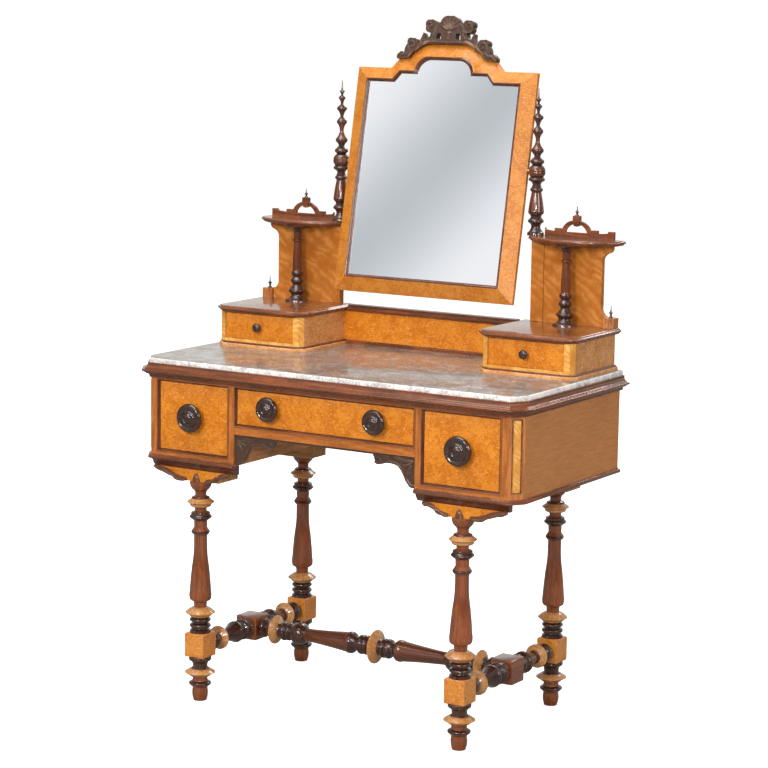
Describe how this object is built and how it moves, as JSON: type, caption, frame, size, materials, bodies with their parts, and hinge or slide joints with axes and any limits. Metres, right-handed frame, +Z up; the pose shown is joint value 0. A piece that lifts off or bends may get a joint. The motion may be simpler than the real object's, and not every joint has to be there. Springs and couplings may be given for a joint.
{
  "type": "dressing table",
  "caption": "Marble-topped dressing table on turned legs with stretchers, drawers, two raised boxes with galleried shelves, and a swinging arched mirror.",
  "frame": {"origin": "on the floor, under the middle of the whole object's bounding box", "axes": "+Z up, the drawers' fronts face -Y, +X to the right of someone facing the front"},
  "size_m": [0.99, 0.5548, 1.5246],
  "materials": {
    "marble": "polished",
    "walnut": "satin",
    "side_veneer": "satin",
    "dark_walnut": "polished",
    "burr_maple": "polished",
    "flame_maple": "polished",
    "golden_maple": "polished",
    "secondary_wood": "bare",
    "mirror_silver": "polished",
    "pin_steel": "dull"
  },
  "bodies": {
    "table": {"marble_top": "marble", "cornice_moulding": "walnut", "case_top_board": "secondary_wood", "case_side_panels": "side_veneer", "kneehole_panels": "side_veneer", "case_back": "secondary_wood", "case_bottom_boards": "secondary_wood", "front_frame": "walnut", "opening_trims": "walnut", "cant_posts": "walnut", "cant_panels": "flame_maple", "base_beads": "walnut", "base_coves": "dark_walnut", "front_aprons": "burr_maple", "rear_aprons": "side_veneer", "apron_carvings": "dark_walnut", "leg_mounting_blocks": "secondary_wood", "kneehole_brackets": "dark_walnut", "drawer_runners": "secondary_wood", "leg_front_left": "dark_walnut", "leg_front_right": "dark_walnut", "leg_rear_left": "dark_walnut", "leg_rear_right": "dark_walnut", "leg_rings": "golden_maple", "leg_square_blocks": "golden_maple", "side_stretchers": "dark_walnut", "cross_stretcher": "dark_walnut", "stretcher_discs": "golden_maple", "upper_box_plinths": "dark_walnut", "left_box_case": "side_veneer", "right_box_case": "side_veneer", "upper_box_posts": "flame_maple", "upper_box_tops": "walnut", "back_rail": "burr_maple", "back_rail_mouldings": "walnut", "backboards": "flame_maple", "pilasters": "flame_maple", "corner_blocks": "golden_maple", "shelves": "walnut", "shelf_columns": "dark_walnut", "shelf_galleries": "walnut", "finials": "dark_walnut", "mirror_posts": "dark_walnut"},
    "right_drawer": {"right_drawer_front": "burr_maple", "right_drawer_box": "secondary_wood"},
    "left_drawer": {"left_drawer_front": "burr_maple", "left_drawer_box": "secondary_wood"},
    "centre_drawer": {"centre_drawer_front": "burr_maple", "centre_drawer_box": "secondary_wood"},
    "small_right_drawer": {"small_right_drawer_front": "burr_maple", "small_right_drawer_box": "secondary_wood"},
    "small_left_drawer": {"small_left_drawer_front": "burr_maple", "small_left_drawer_box": "secondary_wood"},
    "mirror": {"mirror_frame_stiles": "golden_maple", "mirror_frame_rails": "golden_maple", "mirror_slip": "dark_walnut", "mirror_glass": "mirror_silver", "mirror_backboard": "secondary_wood", "mirror_crest": "dark_walnut", "mirror_pivots": "pin_steel"}
  },
  "joints": [
    {"name": "right_drawer_slide", "type": "slide", "parent": "table", "child": "right_drawer", "axis": [0, -1, 0], "range_m": [0, 0.3]},
    {"name": "left_drawer_slide", "type": "slide", "parent": "table", "child": "left_drawer", "axis": [0, -1, 0], "range_m": [0, 0.3]},
    {"name": "centre_drawer_slide", "type": "slide", "parent": "table", "child": "centre_drawer", "axis": [0, -1, 0], "range_m": [0, 0.3]},
    {"name": "small_right_drawer_slide", "type": "slide", "parent": "table", "child": "small_right_drawer", "axis": [0, -1, 0], "range_m": [0, 0.13]},
    {"name": "small_left_drawer_slide", "type": "slide", "parent": "table", "child": "small_left_drawer", "axis": [0, -1, 0], "range_m": [0, 0.13]},
    {"name": "mirror_swing", "type": "hinge", "parent": "table", "child": "mirror", "pos_m": [0, 0.211, 1.1905], "axis": [1, 0, 0], "range_deg": [-14, 21]}
  ]
}
